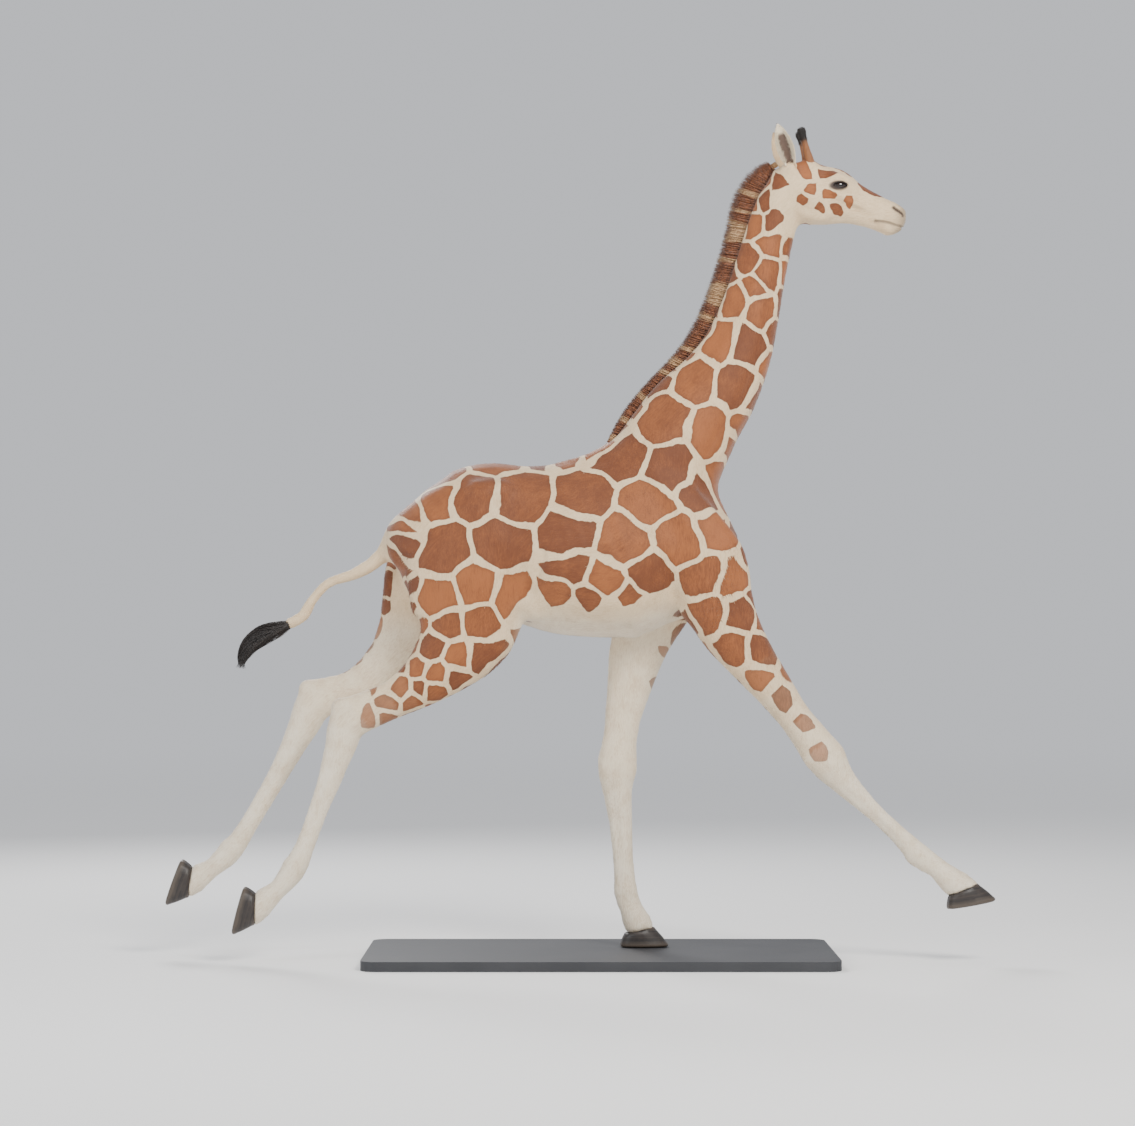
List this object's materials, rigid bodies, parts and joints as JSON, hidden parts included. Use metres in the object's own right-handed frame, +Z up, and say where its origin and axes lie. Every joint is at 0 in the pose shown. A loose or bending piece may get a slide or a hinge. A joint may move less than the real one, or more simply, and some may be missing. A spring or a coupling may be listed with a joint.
{
  "type": "giraffe figure",
  "caption": "Life-size galloping giraffe with patched coat, standing mane and tufted tail, carried by one planted foreleg on a plain flat base.",
  "frame": {"origin": "centre of the base's underside, on the floor", "axes": "+X the way the animal runs and faces, +Y its left side, +Z up; -Z is the base's outward normal on the floor"},
  "size_m": [4.2742, 1.2, 4.2849],
  "materials": {
    "patched_coat": "short smooth fur, liver-brown patches parted by a narrow cream network",
    "plain_coat": "short smooth cream fur",
    "mane_hair": "short stiff upright hair, brown with cream bars",
    "black_hair": "long coarse black hair",
    "hoof_horn": "dull dark horn with growth lines",
    "eye": "wet dark brown eye",
    "base_paint": "matte charcoal paint"
  },
  "bodies": {
    "root": {"ear_left": "patched_coat", "ear_right": "patched_coat", "eye_left": "eye", "eye_right": "eye", "front_left_hoof_inner": "hoof_horn", "front_left_hoof_outer": "hoof_horn", "front_left_leg_lower": "plain_coat", "front_left_leg_upper": "patched_coat", "front_right_hoof_inner": "hoof_horn", "front_right_hoof_outer": "hoof_horn", "front_right_leg_lower": "plain_coat", "front_right_leg_upper": "patched_coat", "head": "patched_coat", "hind_left_hoof_inner": "hoof_horn", "hind_left_hoof_outer": "hoof_horn", "hind_left_leg_lower": "plain_coat", "hind_left_leg_upper": "patched_coat", "hind_right_hoof_inner": "hoof_horn", "hind_right_hoof_outer": "hoof_horn", "hind_right_leg_lower": "plain_coat", "hind_right_leg_upper": "patched_coat", "mane": "mane_hair", "neck": "patched_coat", "ossicone_left": "patched_coat", "ossicone_right": "patched_coat", "stand_base": "base_paint", "tail": "patched_coat", "tail_tuft": "black_hair", "trunk": "patched_coat"}
  },
  "joints": []
}
